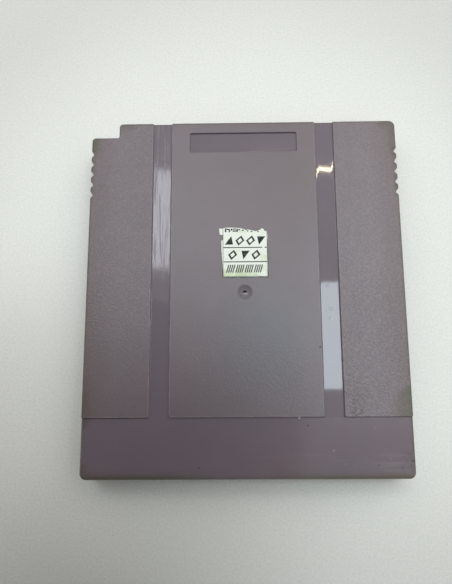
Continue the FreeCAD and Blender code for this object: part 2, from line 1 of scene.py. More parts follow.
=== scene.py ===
import json
import math
import random
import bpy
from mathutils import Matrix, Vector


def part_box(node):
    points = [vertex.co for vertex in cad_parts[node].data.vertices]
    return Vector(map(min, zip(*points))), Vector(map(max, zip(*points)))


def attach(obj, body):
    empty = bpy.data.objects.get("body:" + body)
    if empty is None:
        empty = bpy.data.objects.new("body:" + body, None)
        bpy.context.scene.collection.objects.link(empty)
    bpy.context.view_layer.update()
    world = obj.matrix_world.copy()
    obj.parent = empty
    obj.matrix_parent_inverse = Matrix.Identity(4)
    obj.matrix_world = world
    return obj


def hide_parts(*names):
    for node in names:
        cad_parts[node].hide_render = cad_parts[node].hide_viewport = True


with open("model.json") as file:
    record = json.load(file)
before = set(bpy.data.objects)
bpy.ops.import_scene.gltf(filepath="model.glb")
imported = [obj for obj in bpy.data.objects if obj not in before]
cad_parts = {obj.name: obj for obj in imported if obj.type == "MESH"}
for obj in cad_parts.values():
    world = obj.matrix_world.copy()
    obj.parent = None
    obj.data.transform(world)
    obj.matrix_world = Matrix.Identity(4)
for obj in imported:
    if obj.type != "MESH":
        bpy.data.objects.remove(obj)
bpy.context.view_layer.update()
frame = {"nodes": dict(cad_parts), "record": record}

from types import SimpleNamespace

import bpy
from mathutils import Matrix, Vector

# A handheld game cartridge that lies on its front: finishes, the torn sticker, and the room around it.
# Lengths in the dictionaries are millimetres in the frame's own axes, mm turns them into Blender's metres.
mm = 0.001
scene = bpy.context.scene
scene.view_settings.view_transform = "Standard"
nodes = frame["nodes"]
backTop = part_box("rear_shell")[1] / mm          # grip end, right side, top of the panels
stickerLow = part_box("paper_sticker")[0] / mm
print("frame loaded:", len(nodes), "nodes, back at", round(backTop.z, 2), "mm")


def deselectAll():
    if bpy.context.mode != "OBJECT":
        bpy.ops.object.mode_set(mode="OBJECT")
    bpy.ops.object.select_all(action="DESELECT")


def activate(obj):
    deselectAll()
    obj.select_set(True)
    bpy.context.view_layer.objects.active = obj
    return obj


def applyModifier(obj, kind, **settings):
    activate(obj)
    bpy.ops.object.modifier_add(type=kind)
    modifier = obj.modifiers[-1]
    for name, value in settings.items():
        setattr(modifier, name, value)
    bpy.ops.object.modifier_apply(modifier=modifier.name)


def placeInMesh(obj):
    activate(obj)
    bpy.ops.object.transform_apply(location=True, rotation=True, scale=True)


def joinPieces(pieces, name):
    deselectAll()
    for piece in pieces:
        piece.select_set(True)
    bpy.context.view_layer.objects.active = pieces[0]
    bpy.ops.object.join()
    joined = bpy.context.view_layer.objects.active
    joined.name = name
    joined.data.name = name
    return joined


# sets a socket, or links it where the value is a socket itself
def feed(tree, socket, value):
    if isinstance(value, bpy.types.NodeSocket):
        tree.links.new(value, socket)
    else:
        socket.default_value = value


# a node with its inputs set or linked, given back as the socket that is used
def put(tree, kind, inputs=None, out=0, **settings):
    node = tree.nodes.new("ShaderNode" + kind)
    for name, value in settings.items():
        setattr(node, name, value)
    for name, value in (inputs or {}).items():
        feed(tree, node.inputs[name], value)
    return node.outputs[out]


def sums(tree, operation, first, second=0.0):
    return put(tree, "Math", {0: first, 1: second}, operation=operation)


def product(tree, *values):
    result = values[0]
    for value in values[1:]:
        result = sums(tree, "MULTIPLY", result, value)
    return result


def largest(tree, *values):
    result = values[0]
    for value in values[1:]:
        result = sums(tree, "MAXIMUM", result, value)
    return result


def inverse(tree, mask):
    return sums(tree, "SUBTRACT", 1.0, mask)


# base where the mask is 0, and gain more where it is 1
def rising(tree, mask, base, gain):
    return sums(tree, "ADD", base, product(tree, mask, gain))


# 0 below low, 1 above high, smooth between; backwards when low is the larger
def fade(tree, value, low, high):
    turned = low > high
    limits = {"Value": value, "From Min": min(low, high), "From Max": max(low, high),
              "To Min": 1.0 if turned else 0.0, "To Max": 0.0 if turned else 1.0}
    return put(tree, "MapRange", limits, interpolation_type="SMOOTHSTEP")


def between(tree, value, low, high, soft):
    enter = fade(tree, value, low - soft, low + soft)
    return product(tree, enter, fade(tree, value, high + soft, high - soft))


def mixValue(tree, mask, base, top):
    return put(tree, "Mix", {0: mask, 2: base, 3: top}, out=0, data_type="FLOAT")


def rgba(colour):
    return (*colour, 1.0)


# base and top are sockets or colours of three numbers
def mixColour(tree, mask, base, top, blend="MIX"):
    base, top = (rgba(colour) if isinstance(colour, tuple) else colour for colour in (base, top))
    return put(tree, "Mix", {0: mask, 6: base, 7: top}, out=2, data_type="RGBA", blend_type=blend)


# a colour made lighter or darker by a tone around 1
def toned(tree, colour, tone):
    grey = put(tree, "CombineColor", {channel: tone for channel in range(3)})
    return mixColour(tree, 1.0, colour, grey, "MULTIPLY")


def millimetres(tree):
    place = put(tree, "TexCoord", out="Object")
    return put(tree, "VectorMath", {"Vector": place, "Scale": 1 / mm}, operation="SCALE")


def axesOf(tree, vector):
    split = tree.nodes.new("ShaderNodeSeparateXYZ")
    tree.links.new(vector, split.inputs[0])
    return split.outputs


def noise(tree, vector, scale, detail=2.0, roughness=0.5):
    return put(tree, "TexNoise", {"Vector": vector, "Scale": scale, "Detail": detail, "Roughness": roughness})


def stretched(tree, vector, scale, turn=0.0):
    turned = (0.0, 0.0, math.radians(turn))
    return put(tree, "Mapping", {"Vector": vector, "Scale": scale, "Rotation": turned})


def newMaterial(name):
    material = bpy.data.materials.new(name)
    material.use_nodes = True
    tree = material.node_tree
    return material, tree, tree.nodes["Principled BSDF"]


def wire(tree, shader, **sockets):
    for name, value in sockets.items():
        feed(tree, shader.inputs[name.replace("_", " ")], value)


def bump(tree, height, depth):
    return put(tree, "Bump", {"Height": height, "Distance": depth * mm})


def newGroup(name, inputs, outputs):
    group = bpy.data.node_groups.new(name, "ShaderNodeTree")
    for label, kind, value in inputs:
        socket = group.interface.new_socket(label, in_out="INPUT", socket_type="NodeSocket" + kind)
        socket.default_value = value
    for label, kind in outputs:
        group.interface.new_socket(label, in_out="OUTPUT", socket_type="NodeSocket" + kind)
    enter = group.nodes.new("NodeGroupInput").outputs
    leave = group.nodes.new("NodeGroupOutput").inputs
    return group, enter, leave


def useGroup(tree, group, place, out=0, **inputs):
    return put(tree, "Group", {"Vector": place, **inputs}, out, node_tree=group)


effects = {   # inner values of the shared effects
    "pebbles": 0.6, "dust": 0.6, "dustFiner": 1.7,
    "maskEdge": (0.42, 0.68),
    "fraySize": 0.9, "frayReach": 3.0, "stainEdge": (1.0, 0.6),
    "scratchEdge": 0.72, "scratchSpread": 0.45, "scratchSoft": 0.09,
}
origin = (0, 0, 0)
seenFromAbove = (1, 1, 0)


# pebbled skin that the mould leaves, Height 0 to 1
def makeMouldGrain():
    group, enter, leave = newGroup(
        "mouldGrain", [("Vector", "Vector", origin), ("Size", "Float", 0.3)], [("Height", "Float")])
    perSize = sums(group, "DIVIDE", 1.0, enter["Size"])
    pebbles = put(group, "TexVoronoi", {"Vector": enter["Vector"], "Scale": perSize}, feature="SMOOTH_F1")
    finer = sums(group, "MULTIPLY", perSize, effects["dustFiner"])
    dust = noise(group, enter["Vector"], finer, detail=3.0)
    coarse = product(group, pebbles, effects["pebbles"])
    group.links.new(sums(group, "ADD", coarse, product(group, dust, effects["dust"])), leave["Height"])
    return group


# slow changes of tone, Tone is a factor around 1
def makeMottle():
    group, enter, leave = newGroup(
        "mottle", [("Vector", "Vector", origin), ("Size", "Float", 5.0), ("Contrast", "Float", 0.1)],
        [("Tone", "Float"), ("Mask", "Float")])
    perSize = sums(group, "DIVIDE", 1.0, enter["Size"])
    cloud = noise(group, enter["Vector"], perSize, detail=4.0, roughness=0.6)
    swing = sums(group, "MULTIPLY", sums(group, "SUBTRACT", cloud, 0.5), enter["Contrast"])
    group.links.new(rising(group, swing, 1.0, 2.0), leave["Tone"])
    group.links.new(fade(group, cloud, *effects["maskEdge"]), leave["Mask"])
    return group


# how far a place lies from the centre, seen from above
def flatDistance(tree, vector):
    flat = put(tree, "VectorMath", {0: vector, 1: seenFromAbove}, operation="MULTIPLY")
    return put(tree, "VectorMath", {0: flat}, out="Value", operation="LENGTH")


# one ragged spot round Centre, seen from above
def makeStain():
    group, enter, leave = newGroup(
        "stain", [("Vector", "Vector", origin), ("Centre", "Vector", origin),
                  ("Radius", "Float", 1.0), ("Ragged", "Float", 0.4)], [("Mask", "Float")])
    offset = put(group, "VectorMath", {0: enter["Vector"], 1: enter["Centre"]}, operation="SUBTRACT")
    reach = sums(group, "DIVIDE", flatDistance(group, offset), enter["Radius"])
    frayScale = sums(group, "DIVIDE", effects["fraySize"], enter["Radius"])
    frayed = sums(group, "SUBTRACT", noise(group, enter["Vector"], frayScale, detail=3.0), 0.5)
    frayed = product(group, frayed, product(group, enter["Ragged"], effects["frayReach"]))
    reach = sums(group, "ADD", reach, frayed)
    group.links.new(fade(group, reach, *effects["stainEdge"]), leave["Mask"])
    return group


# fine scratches along Y, Amount is the share of the surface that they cover
def makeHairScratches():
    group, enter, leave = newGroup(
        "hairScratches", [("Vector", "Vector", origin), ("Turn", "Float", 0.0), ("Width", "Float", 0.1),
                          ("Length", "Float", 6.0), ("Amount", "Float", 0.3)], [("Mask", "Float")])
    turned = {"Vector": enter["Vector"], "Angle": enter["Turn"]}
    sides = axesOf(group, put(group, "VectorRotate", turned, rotation_type="Z_AXIS"))
    drawn = put(group, "CombineXYZ", {"X": sums(group, "DIVIDE", sides["X"], enter["Width"]),
                                      "Y": sums(group, "DIVIDE", sides["Y"], enter["Length"]), "Z": sides["Z"]})
    spread = sums(group, "MULTIPLY", enter["Amount"], effects["scratchSpread"])
    edge = sums(group, "SUBTRACT", effects["scratchEdge"], spread)
    over = sums(group, "SUBTRACT", noise(group, drawn, 1.0), edge)
    limits = {"Value": over, "From Min": 0.0, "From Max": effects["scratchSoft"]}
    group.links.new(put(group, "MapRange", limits), leave["Mask"])
    return group


mouldGrain = makeMouldGrain()
mottle = makeMottle()
stain = makeStain()
hairScratches = makeHairScratches()
print("node groups ready")


def cloudTone(tree, place, size, contrast):
    return useGroup(tree, mottle, place, "Tone", Size=size, Contrast=contrast)


def cloudMask(tree, place, size):
    return useGroup(tree, mottle, place, "Mask", Size=size)


shellFinish = {
    "smooth": (0.176, 0.144, 0.170),      # channels, strip, recess and outer walls
    "rosySmooth": (0.188, 0.145, 0.166), "stripRosiness": 0.7,
    "panel": (0.163, 0.130, 0.145),       # grained panels
    "pinkish": (0.175, 0.133, 0.148), "rosiness": 0.5,
    # painted reflection: bluish on the lower middle of the back, where the right lamp reflects
    "paintedReflectionBlue": (0.143, 0.135, 0.156), "paintedReflectionStrength": 0.8,
    "paintedLightRight": (0.191, 0.156, 0.171),       # painted light: the right side of the back is lighter
    "edgeTint": (0.89, 0.84, 0.81),       # the long sides are browner, as a factor
    "rubbedAndHighlit": (0.300, 0.262, 0.275),      # painted highlight: edges of the panels drawn pale, where light catches them
    "grime": (0.070, 0.066, 0.018),       # olive dirt at the outer edges
    "moss": (0.080, 0.086, 0.036),        # green dirt at one corner
    "brown": (0.075, 0.056, 0.044),       # dirt in the grips
    "speck": (0.030, 0.027, 0.024),
    "dust": (0.52, 0.52, 0.52),
    "recessShade": 0.93,                  # painted shade: the recess is darker, as a factor
    "grainSize": 0.31, "grainDepth": 0.05, "smoothGrain": 0.004,
    "panelRough": 0.345, "stripRough": 0.13, "wallRough": 0.42, "recessRough": 0.06,
    "rightChannelRough": 0.035, "leftChannelRough": 0.055, "scratchRough": 0.30,
    "foot": 0.16,                         # rounding at the feet of the channels' walls
    "sink": 0.00018, "sinkPower": 8.0,    # hollow of the channels' floors, steep only beside the walls
}
backPlan = {   # where the back changes: pairs are the two ends of a fade
    "panelLevel": (7.62, 7.72),           # above it the skin is grained
    "backLevel": (7.2, 7.35),             # above it lies all that faces up on the back
    "gateLevel": (7.3, 7.4),              # above it lie the panels with the gate's dish
    "channel": (13.415, 16.865), "channelBlur": 0.02,     # inner and outer side of the channels
    "stripEnd": -22.2, "stripBlur": 0.05,                 # where the panels end above the plain strip
    "panelBlend": 1.0,                    # reach of the blend from one panel's grain to the next
    "recessFrom": (20.0, 22.0), "paintedLightAcross": (6.0, 24.0),
    "rightHalf": (-1.0, 1.0), "leftHalf": (1.0, -1.0),
    "brownSides": (22.5, 27.6), "brownStrip": (6.0, 18.0), "stripBrownness": 0.45,
    "paintedReflectionPatch": ((3.0, -9.0, 0.0), (8.0, 9.0), 20.0, 0.6),     # painted reflection of the right lamp, bluish: centre, half size, turn, blur
    "rubbedAndHighlitEdge": (0.2, 0.1, 0.08),       # reach of the painted edge highlight onto the panel, off it, and blur
    "paintedHighlightPatches": (0.2, 0.4),          # strength of the painted edge highlight everywhere, and more in patches
    "wipedStretch": (0.10, 1.1, 1.0), "wipedTurn": 4.0, "wipedEdge": (0.48, 0.72),
    "wipedAcross": (-4.0, 16.0), "wipedRows": (-26.0, -30.5), "wipedStrength": 0.09,
    "scratchedRows": (1.0, 7.0),
}
panelGrain = {   # fade along y, strength before and after it, and how much it changes the tone, which is grain partly painted as glints where the lamps reflect
    "left": ((2.0, -14.0), (1.2, 0.6), 0.45),
    "middle": ((8.0, -14.0), (0.2, 0.5), 0.32),           # weaker grain, with fewer painted glints
    "right": ((20.0, -8.0), (1.0, 1.7), 0.55),
}
gate = {   # moulding gate on the middle panel, with a broken stub: centre, half size, turn, blur
    "dish": ((0.0, -0.3, 0.0), (1.22, 1.22), 0.0, 0.18), "dishRough": 0.5,
    "stub": ((0.0, -0.3, 0.0), (0.62, 0.62), 0.0, 0.25),
    # painted highlight: the pale crescent is the lit lower side of the hollow
    "crescent": ((0.05, -0.58, 0.0), (0.44, 0.17), 0.0, 0.35), "crescentStrength": 0.7,
    # painted shadow: the slit is black where the hole lies in shade
    "slit": ((-0.04, -0.17, 0.0), (0.42, 0.2), 8.0, 0.3),
    "ringRows": (-1.2, 0.3), "ringStrength": (0.12, 0.45),      # painted shade: the ring is darker towards the grip end
    "paintedSlitShadow": (0.006, 0.005, 0.006), "paintedCrescentHighlight": (0.46, 0.42, 0.45),
    "ringColour": (0.085, 0.072, 0.080),
}
dirt = {   # distances from the outer edge where it starts and is full, and its strength
    "rim": (0.7, 0.1), "rimPatches": (0.22, 0.3),
    "lowEdge": [(1.9, 0.2, 0.3), (1.0, 0.3, 0.6)],
    "cleanMiddle": ((-1.0, -32.5, 0.0), (9.0, 4.0), 0.0, 0.6), "cleaned": 0.3,
    "leftEdge": (2.2, 0.2, 0.15), "leftEdgeRows": (12.0, -14.0),
    "wideRim": (2.4, 0.3), "cornerStrength": 0.8,
    "mossAcross": (24.0, 28.5),
    "grips": (1.1, 0.5), "gripRows": (17.4, 27.3, 0.3), "gripPatches": (0.25, 0.4),
    "crumbScale": 1.7, "crumbEdge": (0.5, 0.62),
}
specks = [   # small dark specks on the back: centre x, y, radius, raggedness, strength
    (13.07, -10.2, 0.26, 0.3, 0.8), (10.49, -23.65, 0.22, 0.3, 0.6), (-8.25, -30.53, 0.2, 0.3, 0.5),
    (22.28, -30.25, 0.2, 0.3, 0.45), (28.2, -29.63, 0.34, 0.3, 0.6), (17.92, -15.11, 0.28, 0.4, 0.3),
    (7.3, -12.96, 0.2, 0.3, 0.3), (-15.46, 18.0, 0.22, 0.4, 0.3), (-16.1, 11.8, 0.24, 0.4, 0.3),
    (14.75, 0.9, 0.4, 0.9, 0.3), (15.3, -3.4, 0.55, 1.0, 0.3), (14.9, -5.0, 0.4, 1.0, 0.25),
]
smudges = [   # rubbed-in dirt
    (19.9, -18.9, 2.2, 0.7, 0.4), (18.24, -21.26, 1.6, 0.7, 0.45), (27.2, -30.4, 2.0, 0.8, 0.2),
]
flecks = [   # pale dust and short scratches
    (9.07, -22.3, 0.22, 0.3, 0.8), (14.78, -27.84, 0.2, 0.6, 0.22), (24.37, -29.12, 0.18, 0.6, 0.12),
    (16.72, -30.06, 0.2, 0.7, 0.16), (21.9, -24.1, 0.16, 0.6, 0.14), (15.34, -5.17, 0.12, 0.4, 0.2),
]
corners = [   # where dirt has gathered along the rim
    (-28.6, 29.3, 4.0, 0.4, 0.9), (-22.3, 32.6, 2.6, 0.4, 0.5), (-27.2, -33.0, 3.4, 0.7, 0.4),
    (-28.9, -20.6, 3.2, 0.7, 0.5), (28.6, 32.3, 4.2, 0.4, 0.5), (28.2, -31.8, 4.6, 0.6, 0.25),
    (28.6, 27.5, 2.2, 0.7, 0.4),
]
mossy = [(28.9, -21.4, 5.0, 0.3, 0.6)]


def spotMask(tree, place, spots):
    mask = 0.0
    for x, y, radius, ragged, strength in spots:
        spot = useGroup(tree, stain, place, Centre=(x, y, 0), Radius=radius, Ragged=ragged)
        mask = sums(tree, "MAXIMUM", product(tree, spot, strength), mask)
    return mask


# a soft oval seen from above, 1 inside
def oval(tree, place, centre, halfSize, turn, soft):
    own = put(tree, "Mapping", {"Vector": place, "Location": centre, "Scale": (*halfSize, 1.0),
                                "Rotation": (0.0, 0.0, math.radians(turn))}, vector_type="TEXTURE")
    return fade(tree, flatDistance(tree, own), 1.0 + soft, 1.0 - soft)


# 1 along the outer edge; side and end are the distances from the middle
def nearRim(tree, side, end, start, full):
    return largest(tree, fade(tree, side, backTop.x - start, backTop.x - full),
                   fade(tree, end, backTop.y - start, backTop.y - full))


# height, in millimetres, of a rounded foot at that distance from its wall
def footRise(tree, distance, radius):
    near = sums(tree, "MAXIMUM", sums(tree, "SUBTRACT", radius, distance), 0.0)
    return product(tree, near, near, 0.5 / radius)


# coordinates and masks of the back that its finish is made from
def rearZones(tree, place):
    plan = backPlan
    x, y, z = axesOf(tree, place)
    side = sums(tree, "ABSOLUTE", x)
    stripEnd, blur = plan["stripEnd"], plan["stripBlur"]
    back = fade(tree, z, *plan["backLevel"])
    panels = fade(tree, z, *plan["panelLevel"])
    sunken = product(tree, back, inverse(tree, panels))
    inChannel = between(tree, side, *plan["channel"], plan["channelBlur"])
    return SimpleNamespace(
        x=x, y=y, side=side, end=sums(tree, "ABSOLUTE", y), panels=panels, sunken=sunken, inChannel=inChannel,
        gatePanel=fade(tree, z, *plan["gateLevel"]),
        strip=product(tree, back, fade(tree, y, stripEnd + blur, stripEnd - blur)),
        channels=product(tree, sunken, inChannel, fade(tree, y, stripEnd - blur, stripEnd + blur)),
        recess=product(tree, sunken, inverse(tree, inChannel), fade(tree, y, *plan["recessFrom"])),
        patchy=cloudMask(tree, place, size=1.6))


# one value for each panel, blended from one to the next
def perPanel(tree, x, left, middle, right):
    inner, outer = backPlan["channel"]
    start = inner - backPlan["panelBlend"]
    value = mixValue(tree, fade(tree, x, start, outer), middle, right)
    return mixValue(tree, fade(tree, x, -start, -outer), value, left)


# how strong the grain is, and how much it shows in the tone as painted glints
def grainStrength(tree, zone):
    strengths, shares = {}, {}
    for panel, (rows, (before, after), share) in panelGrain.items():
        strengths[panel] = mixValue(tree, fade(tree, zone.y, *rows), before, after)
        shares[panel] = share
    crisp = product(tree, zone.panels, perPanel(tree, zone.x, **strengths))
    return crisp, perPanel(tree, zone.x, **shares)


def rearTone(tree, place, zone, grainAndGlintTone):
    finish, plan = shellFinish, backPlan
    rosy = cloudMask(tree, place, size=11.0)
    colour = mixColour(tree, product(tree, rosy, finish["rosiness"]), finish["panel"], finish["pinkish"])
    # painted reflection: a bluish patch on the lower middle, where the right lamp reflects
    paintedReflection = product(tree, oval(tree, place, *plan["paintedReflectionPatch"]), finish["paintedReflectionStrength"])
    colour = mixColour(tree, paintedReflection, colour, finish["paintedReflectionBlue"])
    # painted light: the back is lighter towards the right side
    colour = mixColour(tree, fade(tree, zone.x, *plan["paintedLightAcross"]), colour, finish["paintedLightRight"])
    inner, outer = plan["channel"]
    onto, off, blur = plan["rubbedAndHighlitEdge"]
    # painted highlight: pale lines along the panels' edges
    highlitEdge = largest(tree, between(tree, zone.side, inner - onto, inner + off, blur),
                       between(tree, zone.side, outer - off, outer + onto, blur),
                       between(tree, zone.y, plan["stripEnd"] - off, plan["stripEnd"] + onto, blur))
    rubbedAndHighlit = product(tree, highlitEdge, rising(tree, zone.patchy, *plan["paintedHighlightPatches"]))
    colour = mixColour(tree, rubbedAndHighlit, colour, finish["rubbedAndHighlit"])
    rosyStrip = product(tree, rosy, zone.strip, finish["stripRosiness"])
    smooth = mixColour(tree, rosyStrip, finish["smooth"], finish["rosySmooth"])
    colour = mixColour(tree, zone.panels, smooth, colour)
    brownStrip = product(tree, zone.strip, fade(tree, zone.x, *plan["brownStrip"]), plan["stripBrownness"])
    browned = largest(tree, product(tree, zone.panels, fade(tree, zone.side, *plan["brownSides"])), brownStrip)
    colour = mixColour(tree, browned, colour, finish["edgeTint"], "MULTIPLY")
    # painted shade: the recess is darker
    grainAndGlintTone = product(tree, grainAndGlintTone, mixValue(tree, zone.recess, 1.0, finish["recessShade"]))
    colour = toned(tree, colour, product(tree, cloudTone(tree, place, size=7.0, contrast=0.07), grainAndGlintTone))
    streaks = noise(tree, stretched(tree, place, plan["wipedStretch"], plan["wipedTurn"]), 1.0, detail=3.0)
    wiped = product(tree, fade(tree, streaks, *plan["wipedEdge"]), zone.strip,
                    fade(tree, zone.x, *plan["wipedAcross"]), fade(tree, zone.y, *plan["wipedRows"]),
                    plan["wipedStrength"])
    return mixColour(tree, wiped, colour, finish["dust"])


# the gate's dark ring with painted shade towards the grip end, its pale crescent as a painted highlight and its
# black slit as a painted shadow: colour, and where it is matt
def gateMark(tree, place, zone, colour):
    dish = product(tree, oval(tree, place, *gate["dish"]), zone.gatePanel)
    ring = product(tree, dish, inverse(tree, oval(tree, place, *gate["stub"])),
                   mixValue(tree, fade(tree, zone.y, *gate["ringRows"]), *gate["ringStrength"]))
    # painted shade: the ring darkens towards the grip end
    colour = mixColour(tree, ring, colour, gate["ringColour"])
    crescent = product(tree, oval(tree, place, *gate["crescent"]), zone.gatePanel, gate["crescentStrength"])
    # painted highlight: the pale crescent
    colour = mixColour(tree, crescent, colour, gate["paintedCrescentHighlight"])
    slit = product(tree, oval(tree, place, *gate["slit"]), zone.gatePanel)
    # painted shadow: the black slit
    colour = mixColour(tree, slit, colour, gate["paintedSlitShadow"])
    return colour, largest(tree, slit, product(tree, dish, gate["dishRough"]))


# olive dirt along the rim and in the corners, green and brown patches, then smudges, specks and dust
def rearDirt(tree, place, zone, colour):
    finish = shellFinish
    grime = product(tree, nearRim(tree, zone.side, zone.end, *dirt["rim"]),
                    rising(tree, zone.patchy, *dirt["rimPatches"]))
    lowEdge = largest(tree, *(product(tree, fade(tree, zone.y, start - backTop.y, full - backTop.y), strength)
                              for start, full, strength in dirt["lowEdge"]))
    clean = oval(tree, place, *dirt["cleanMiddle"])
    lowEdge = product(tree, lowEdge, mixValue(tree, clean, 1.0, dirt["cleaned"]))
    start, full, strength = dirt["leftEdge"]
    leftEdge = product(tree, zone.panels, fade(tree, zone.x, start - backTop.x, full - backTop.x),
                       fade(tree, zone.y, *dirt["leftEdgeRows"]), strength)
    gathered = product(tree, spotMask(tree, place, corners),
                       nearRim(tree, zone.side, zone.end, *dirt["wideRim"]), dirt["cornerStrength"])
    colour = mixColour(tree, largest(tree, grime, lowEdge, leftEdge, gathered), colour, finish["grime"])
    moss = product(tree, spotMask(tree, place, mossy), zone.panels, fade(tree, zone.x, *dirt["mossAcross"]))
    colour = mixColour(tree, moss, colour, finish["moss"])
    start, full = dirt["grips"]
    grips = product(tree, fade(tree, zone.side, backTop.x - start, backTop.x - full),
                    between(tree, zone.y, *dirt["gripRows"]), rising(tree, zone.patchy, *dirt["gripPatches"]))
    colour = mixColour(tree, grips, colour, finish["brown"])
    crumbs = fade(tree, noise(tree, place, dirt["crumbScale"], detail=4.0, roughness=0.7), *dirt["crumbEdge"])
    smudged = product(tree, spotMask(tree, place, smudges), crumbs)
    colour = mixColour(tree, smudged, colour, finish["speck"])
    colour = mixColour(tree, spotMask(tree, place, specks), colour, finish["speck"])
    return mixColour(tree, spotMask(tree, place, flecks), colour, finish["dust"])


def rearGloss(tree, place, zone, matt):
    finish, plan = shellFinish, backPlan
    rough = mixValue(tree, zone.panels, finish["wallRough"], finish["panelRough"])
    rough = mixValue(tree, zone.sunken, rough, finish["recessRough"])
    rough = mixValue(tree, zone.strip, rough, finish["stripRough"])
    rough = product(tree, rough, cloudTone(tree, place, size=2.2, contrast=0.08))
    rightChannel = product(tree, zone.channels, fade(tree, zone.x, *plan["rightHalf"]))
    rough = mixValue(tree, rightChannel, rough, finish["rightChannelRough"])
    scratched = useGroup(tree, hairScratches, place, Width=0.16, Length=7.0, Amount=0.4)
    scratched = product(tree, scratched, fade(tree, zone.y, *plan["scratchedRows"]))
    worn = rising(tree, scratched, finish["leftChannelRough"], finish["scratchRough"])
    leftChannel = product(tree, zone.channels, fade(tree, zone.x, *plan["leftHalf"]))
    return mixValue(tree, matt, mixValue(tree, leftChannel, rough, worn), 1.0)


# pebbled panels, rounded feet of the walls, hollow channels
def rearRelief(tree, zone, grain, crisp):
    finish = shellFinish
    inner, outer = backPlan["channel"]
    pebbles = product(tree, grain, sums(tree, "ADD", crisp, finish["smoothGrain"]), finish["grainDepth"])
    fromInner, fromOuter = sums(tree, "SUBTRACT", zone.side, inner), sums(tree, "SUBTRACT", outer, zone.side)
    foot = footRise(tree, sums(tree, "MINIMUM", fromInner, fromOuter), finish["foot"])
    fromMiddle = sums(tree, "ABSOLUTE", sums(tree, "SUBTRACT", zone.side, (inner + outer) / 2))
    hollow = product(tree, sums(tree, "POWER", fromMiddle, finish["sinkPower"]), finish["sink"])
    inChannels = product(tree, zone.channels, sums(tree, "ADD", foot, hollow))
    stripFoot = footRise(tree, sums(tree, "SUBTRACT", backPlan["stripEnd"], zone.y), finish["foot"])
    onStrip = product(tree, zone.strip, stripFoot, inverse(tree, zone.inChannel))
    return sums(tree, "ADD", pebbles, sums(tree, "ADD", inChannels, onStrip))


def makeRearPlastic():
    material, tree, shader = newMaterial("rearPlastic")
    place = millimetres(tree)
    zone = rearZones(tree, place)
    grain = useGroup(tree, mouldGrain, place, Size=shellFinish["grainSize"])
    crisp, sparkle = grainStrength(tree, zone)
    # grain in the tone, partly painted glints, strongest where the lamps reflect
    grainAndGlintTone = rising(tree, sums(tree, "SUBTRACT", grain, 0.5), 1.0, product(tree, crisp, sparkle))
    colour, matt = gateMark(tree, place, zone, rearTone(tree, place, zone, grainAndGlintTone))
    wire(tree, shader, Base_Color=rearDirt(tree, place, zone, colour),
         Roughness=rearGloss(tree, place, zone, matt),
         Normal=bump(tree, rearRelief(tree, zone, grain, crisp), 1.0))
    return material


frontFinish = {"rim": (0.8, 0.1), "grimeStrength": 0.5, "rough": 0.36, "rubbedRough": 0.12, "grainDepth": 0.02}


def makeFrontPlastic():
    finish = frontFinish
    material, tree, shader = newMaterial("frontPlastic")
    place = millimetres(tree)
    x, y = axesOf(tree, place)[:2]
    colour = toned(tree, shellFinish["panel"], cloudTone(tree, place, size=7.0, contrast=0.1))
    outside = nearRim(tree, sums(tree, "ABSOLUTE", x), sums(tree, "ABSOLUTE", y), *finish["rim"])
    grime = product(tree, outside, cloudMask(tree, place, size=1.8), finish["grimeStrength"])
    colour = mixColour(tree, grime, colour, shellFinish["grime"])
    rubbedAndHighlit = useGroup(tree, hairScratches, place, Turn=0.7, Width=0.2, Length=9.0, Amount=0.2)
    grain = useGroup(tree, mouldGrain, place, Size=shellFinish["grainSize"])
    rough = rising(tree, rubbedAndHighlit, finish["rough"], finish["rubbedRough"])
    wire(tree, shader, Base_Color=colour, Roughness=rough, Normal=bump(tree, grain, finish["grainDepth"]))
    return material


boardFinish = {
    "mask": (0.030, 0.140, 0.050), "track": (0.045, 0.200, 0.070), "edge": (0.42, 0.40, 0.22),
    "pitch": 1.5, "trackWidth": 0.3, "trackBlur": 0.03,
    "bendRows": (-12.0, -4.0), "bend": 3.2,                       # tracks step aside above the contacts
    "breakStretch": (0.7, 0.05, 0.05), "breakEdge": (0.42, 0.5),  # where tracks end
    "endRim": (0.25, 0.05), "sideRim": (0.15, 0.02),              # bare laminate at the edges
    "weaveScale": 1.6, "trackHeight": 0.7, "weaveHeight": 0.2, "relief": 0.03, "rough": 0.32,
}


def makeLaminate():
    finish = boardFinish
    material, tree, shader = newMaterial("boardLaminate")
    place = millimetres(tree)
    x, y = axesOf(tree, place)[:2]
    low, high = (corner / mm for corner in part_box("circuit_board"))
    bend = product(tree, fade(tree, y, *finish["bendRows"]), finish["bend"])
    across = sums(tree, "FRACT", sums(tree, "DIVIDE", sums(tree, "ADD", x, bend), finish["pitch"]))
    share = finish["trackWidth"] / finish["pitch"] / 2
    whole = noise(tree, stretched(tree, place, finish["breakStretch"]), 1.0)
    tracks = product(tree, between(tree, across, 0.5 - share, 0.5 + share, finish["trackBlur"]),
                     fade(tree, whole, *finish["breakEdge"]))
    colour = mixColour(tree, tracks, finish["mask"], finish["track"])
    endRim, sideRim = finish["endRim"], finish["sideRim"]
    rim = largest(tree, fade(tree, y, low.y + endRim[0], low.y + endRim[1]),
                  fade(tree, sums(tree, "ABSOLUTE", x), high.x - sideRim[0], high.x - sideRim[1]))
    colour = mixColour(tree, rim, colour, finish["edge"])
    weave = put(tree, "TexWave", {"Vector": place, "Scale": finish["weaveScale"], "Distortion": 1.0}, out=1)
    height = sums(tree, "ADD", product(tree, tracks, finish["trackHeight"]),
                  product(tree, weave, finish["weaveHeight"]))
    wire(tree, shader, Base_Color=colour, Roughness=finish["rough"],
         Normal=bump(tree, height, finish["relief"]))
    return material


contactFinish = {"gold": (0.83, 0.60, 0.24), "tarnished": (0.50, 0.33, 0.13), "tarnish": 0.45,
                 "rough": 0.22, "wipedRough": 0.2, "wipedDepth": 0.004}


